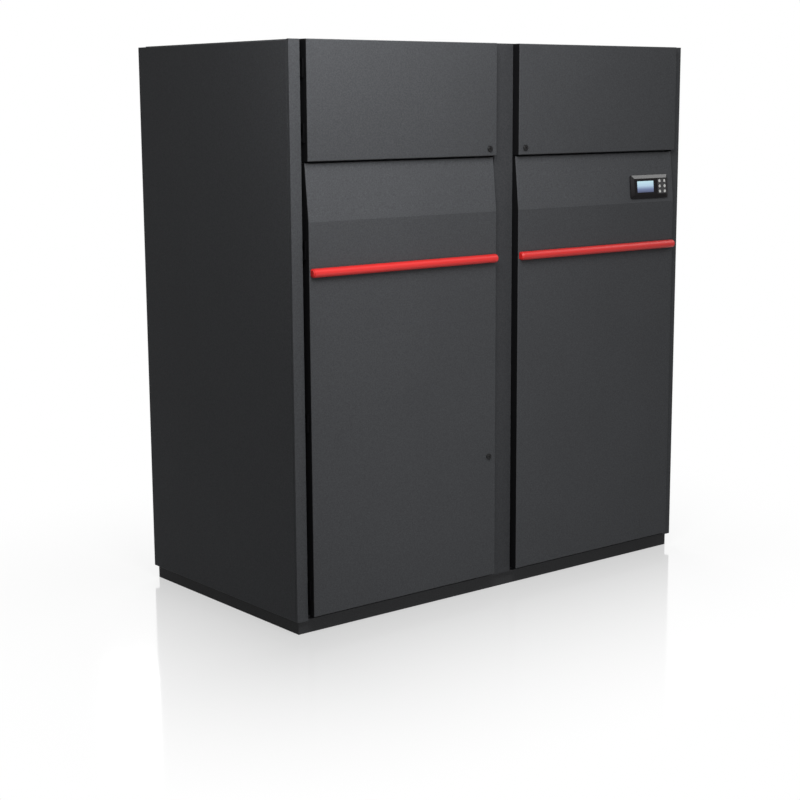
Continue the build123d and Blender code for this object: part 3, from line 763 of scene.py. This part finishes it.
def outside_box(finish):
    """How far a point of the floor lies outside the part's box."""
    high = cad_bounds[1]
    past = finish.vectors("SUBTRACT", finish.vectors("ABSOLUTE", finish.place), (high[0], high[1], 0))
    return finish.vectors("LENGTH", finish.vectors("MAXIMUM", past, (0, 0, 0)))


def outside_plinth(finish):
    """A value of 0 inside the plinth's rails and 1 outside the plinth."""
    low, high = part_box("plinth")
    offset = finish.vectors("SUBTRACT", finish.place, (low + high) / 2)
    past = finish.vectors("SUBTRACT", finish.vectors("ABSOLUTE", offset), (high - low) / 2)
    parts = finish.node("ShaderNodeSeparateXYZ", {0: past}).outputs
    return finish.ranged(finish.maths("MAXIMUM", parts[0], parts[1]), 0.0, 1.0, -PLINTH_RAIL, 0.0)


def floor_finish():
    """A pale floor that glows white to the camera, holds a soft shadow, and mirrors the cabinet faintly.
    Inside the plinth it doesn't glow, because the cabinet covers it."""
    finish = Finish("floor")
    finish.tree.nodes.remove(finish.surface)
    away = outside_box(finish)
    bare = outside_plinth(finish)
    mirror = finish.ranged(away, FLOOR_MIRROR, 0.0, 0.0, FLOOR_MIRROR_FADE)
    near = finish.ranged(away, 1.0, 0.0, 0.0, FLOOR_FADE)
    glow = finish.shader("Emission", {"Strength": finish.ranged(bare, 0.0, FLOOR_GLOW)})
    matt = finish.shader("BsdfDiffuse", {"Color": finish.ranged(bare, FLOOR_COVERED, FLOOR_DIFFUSE)})
    gloss = finish.shader("BsdfGlossy", {"Roughness": FLOOR_MIRROR_ROUGHNESS})
    white = finish.shader("Emission", {"Strength": 1.0})
    bounce = finish.shader("BsdfDiffuse", {"Color": (FLOOR_BOUNCE, FLOOR_BOUNCE, FLOOR_BOUNCE, 1)})
    plain = finish.shader("AddShader", {0: glow, 1: matt})
    polished = finish.shader("MixShader", {0: mirror, 1: plain, 2: gloss})
    shown = finish.shader("MixShader", {0: near, 1: white, 2: polished})
    surface = finish.shader("MixShader", {0: shows_white(finish), 1: bounce, 2: shown})
    finish.put(finish.tree.nodes["Material Output"].inputs["Surface"], surface)
    return finish.material


def build_floor():
    """The floor, which belongs to the stage."""
    half = STAGE_SIZE / 2
    corners = [(-half, -half, 0), (half, -half, 0), (half, half, 0), (-half, half, 0)]
    mesh = bpy.data.meshes.new("floor")
    mesh.from_pydata(corners, [], [(0, 1, 2, 3)])
    mesh.materials.append(floor_finish())
    floor_object = bpy.data.objects.new("floor", mesh)
    bpy.context.scene.collection.objects.link(floor_object)


def build_surround():
    """A surround that shows white and gives a soft light."""
    world = bpy.data.worlds.new("studio")
    bpy.context.scene.world = world
    surround = NodeTree(world)
    background = surround.tree.nodes["Background"]
    background.inputs["Color"].default_value = (1, 1, 1, 1)
    surround.put(background.inputs["Strength"], surround.ranged(shows_white(surround), WORLD_LIGHT, 1.0))


def soft_light(name, place, target, size, power):
    """A studio light, given by its width and height and aimed at a point."""
    data = bpy.data.lights.new(name, "AREA")
    data.shape = "RECTANGLE"
    data.size, data.size_y = size
    data.energy = power
    light = bpy.data.objects.new(name, data)
    light.location = place
    aim = Vector(target) - Vector(place)
    light.rotation_euler = aim.to_track_quat("-Z", "Y").to_euler()
    light.visible_camera = False
    bpy.context.scene.collection.objects.link(light)


def build_camera():
    """A camera at the photograph's viewing angle."""
    data = bpy.data.cameras.new("camera")
    data.lens = CAMERA_LENS
    data.sensor_width = CAMERA_SENSOR
    camera = bpy.data.objects.new("camera", data)
    yaw = Matrix.Rotation(radians(-CAMERA_YAW), 4, "Z")
    pitch = Matrix.Rotation(radians(90 - CAMERA_PITCH), 4, "X")
    roll = Matrix.Rotation(radians(CAMERA_ROLL), 4, "Z")
    camera.matrix_world = Matrix.Translation(CAMERA_PLACE) @ yaw @ pitch @ roll
    bpy.context.scene.collection.objects.link(camera)
    bpy.context.scene.camera = camera


build_floor()
build_surround()
for light_name, settings in LIGHTS.items():
    soft_light(light_name, *settings)
build_camera()
bpy.context.scene.view_settings.view_transform = "Standard"
